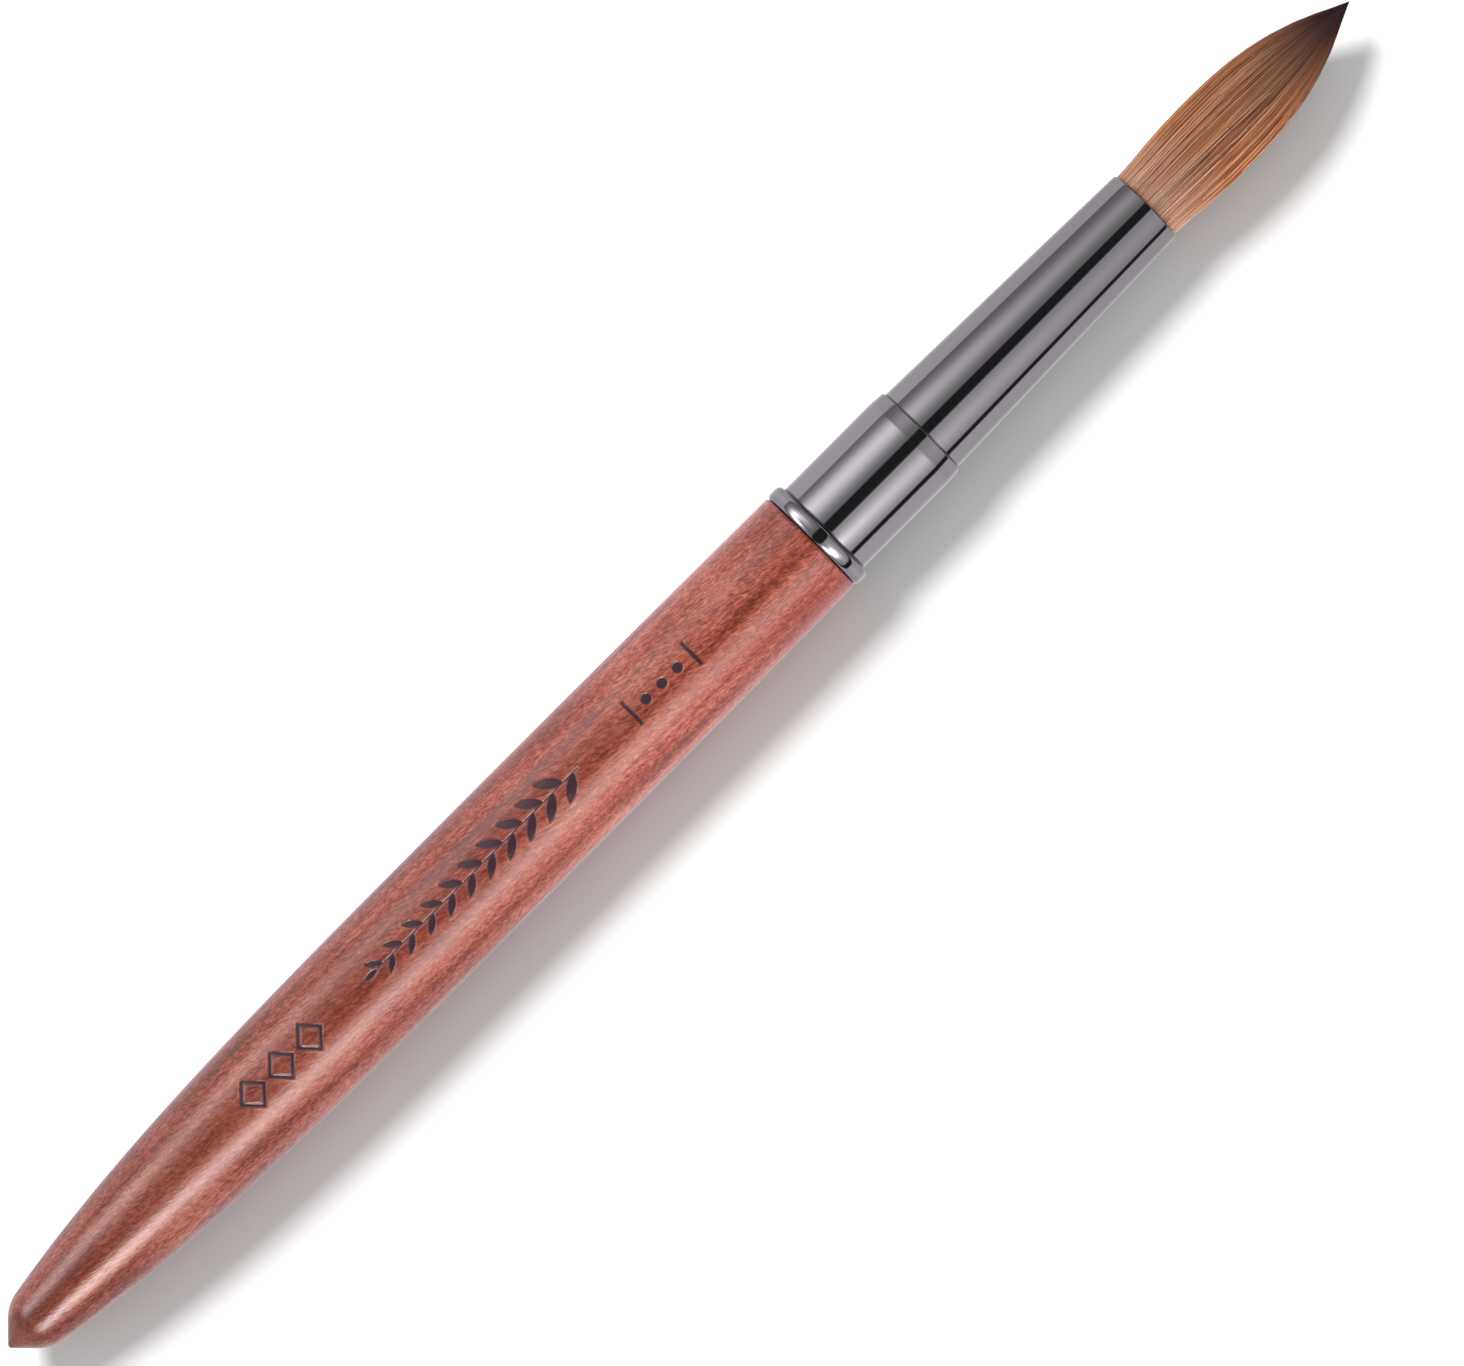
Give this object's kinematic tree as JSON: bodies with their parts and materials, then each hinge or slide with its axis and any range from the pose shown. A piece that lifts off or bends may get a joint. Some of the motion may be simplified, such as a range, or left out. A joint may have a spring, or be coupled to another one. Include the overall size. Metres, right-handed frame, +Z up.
{
  "type": "acrylic nail brush",
  "caption": "Round pointed natural-hair brush for shaping acrylic nails: turned hardwood handle with a pointed butt, beaded metal collar, tapered metal ferrule and springy tuft.",
  "frame": {"origin": "middle of the underside of the brush's box, on the surface that the brush lies on", "axes": "+X along the brush from the pointed butt to the hair tip, +Z up through the handle's ornament, +Y across the brush"},
  "size_m": [0.179, 0.012, 0.012],
  "materials": {
    "handle_wood": "oiled red hardwood under a satin lacquer, with burned dark ornament",
    "gunmetal": "polished dark gunmetal plating",
    "hair": "copper-brown natural hair with dark tips",
    "thread": "waxed cotton thread",
    "glue": "cast clear amber resin"
  },
  "bodies": {
    "root": {"handle": "handle_wood", "collar": "gunmetal", "ferrule": "gunmetal", "collar_glue": "glue", "tenon_glue": "glue", "hair_root": "hair", "binding_thread": "thread", "root_resin": "glue"},
    "tuft": {"hair_tuft": "hair"}
  },
  "joints": [
    {"name": "tuft_flex", "type": "hinge", "parent": "root", "child": "tuft", "pos_m": [0.0625, 0, 0.006], "axis": [0, 0, 1], "range_deg": [-30, 30], "stiffness_Nm_per_rad": 0.006}
  ]
}
